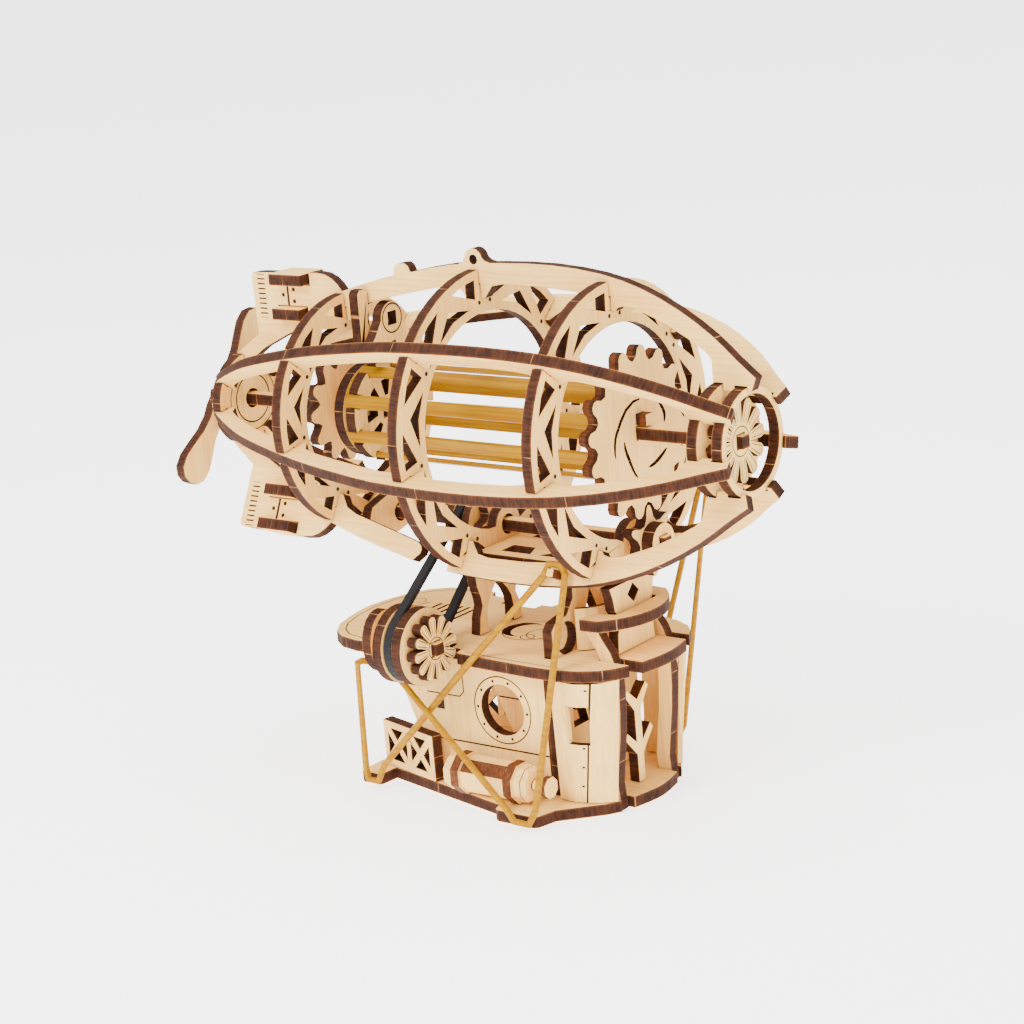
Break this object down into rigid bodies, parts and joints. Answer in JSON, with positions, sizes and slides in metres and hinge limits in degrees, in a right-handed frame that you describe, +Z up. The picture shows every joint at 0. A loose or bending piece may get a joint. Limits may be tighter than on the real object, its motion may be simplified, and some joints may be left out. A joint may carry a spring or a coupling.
{
  "type": "mechanical airship model",
  "caption": "Laser cut plywood mechanical airship kit with ribbed open envelope, gear train, rubber motor, tail propeller and gondola with a belt driven side engine.",
  "frame": {"origin": "under the middle ring and the envelope's axis, on the underside of the gondola's base plate", "axes": "+X towards the nose, +Y to port, +Z up"},
  "size_m": [0.1554, 0.0702, 0.1216],
  "materials": {
    "birch_ply": "satin",
    "yellow_rubber": "satin",
    "black_rubber": "matt"
  },
  "bodies": {
    "frame": {"base_plate": "birch_ply", "bracket_lower": "birch_ply", "bracket_upper": "birch_ply", "bulkhead": "birch_ply", "control_lever": "birch_ply", "corner_panel_port": "birch_ply", "corner_panel_starboard": "birch_ply", "drive_belt": "black_rubber", "engine_bracket": "birch_ply", "fin_plate_bottom_port_inner": "birch_ply", "fin_plate_bottom_port_outer": "birch_ply", "fin_plate_bottom_starboard_inner": "birch_ply", "fin_plate_bottom_starboard_outer": "birch_ply", "fin_plate_top_inner": "birch_ply", "fin_plate_top_outer": "birch_ply", "keel_plate": "birch_ply", "longeron_bottom_port": "birch_ply", "longeron_bottom_starboard_aft": "birch_ply", "longeron_bottom_starboard_fore": "birch_ply", "longeron_lower_port": "birch_ply", "longeron_lower_starboard": "birch_ply", "longeron_top": "birch_ply", "longeron_upper_port": "birch_ply", "longeron_upper_starboard": "birch_ply", "mast_aft": "birch_ply", "mast_cowl": "birch_ply", "mast_fore": "birch_ply", "nose_bearing": "birch_ply", "nose_ring": "birch_ply", "rib_port": "birch_ply", "rib_starboard": "birch_ply", "ring_aft": "birch_ply", "ring_fore": "birch_ply", "ring_mid": "birch_ply", "roof": "birch_ply", "stay_port": "yellow_rubber", "stay_starboard": "yellow_rubber", "tail_bearing": "birch_ply", "tail_cap": "birch_ply", "tank": "birch_ply", "truss_port": "birch_ply", "truss_starboard": "birch_ply", "visor": "birch_ply", "wall_port": "birch_ply", "wall_starboard": "birch_ply"},
    "rotor": {"nose_fan": "birch_ply", "main_shaft": "birch_ply", "main_gear": "birch_ply", "rubber_motor": "yellow_rubber", "drum": "birch_ply", "tail_gear": "birch_ply", "tail_shaft": "birch_ply", "propeller": "birch_ply"},
    "layshaft": {"layshaft": "birch_ply", "pinion": "birch_ply", "star_wheel": "birch_ply", "belt_pulley": "birch_ply"},
    "engine": {"engine_shaft": "birch_ply", "engine_pulley": "birch_ply", "engine_fan": "birch_ply"}
  },
  "joints": [
    {"name": "rotor_spin", "type": "hinge", "parent": "frame", "child": "rotor", "pos_m": [0, 0, 0.083], "axis": [1, 0, 0], "continuous": true},
    {"name": "layshaft_spin", "type": "hinge", "parent": "frame", "child": "layshaft", "pos_m": [0, 0.0015, 0.0586], "axis": [1, 0, 0], "continuous": true},
    {"name": "engine_spin", "type": "hinge", "parent": "frame", "child": "engine", "pos_m": [-0.0095, -0.0246, 0.0368], "axis": [1, 0, 0], "continuous": true}
  ],
  "couplings": [
    {"joint": "layshaft_spin", "follows": "rotor_spin", "ratio": -2.6667},
    {"joint": "engine_spin", "follows": "rotor_spin", "ratio": -2.0129}
  ]
}
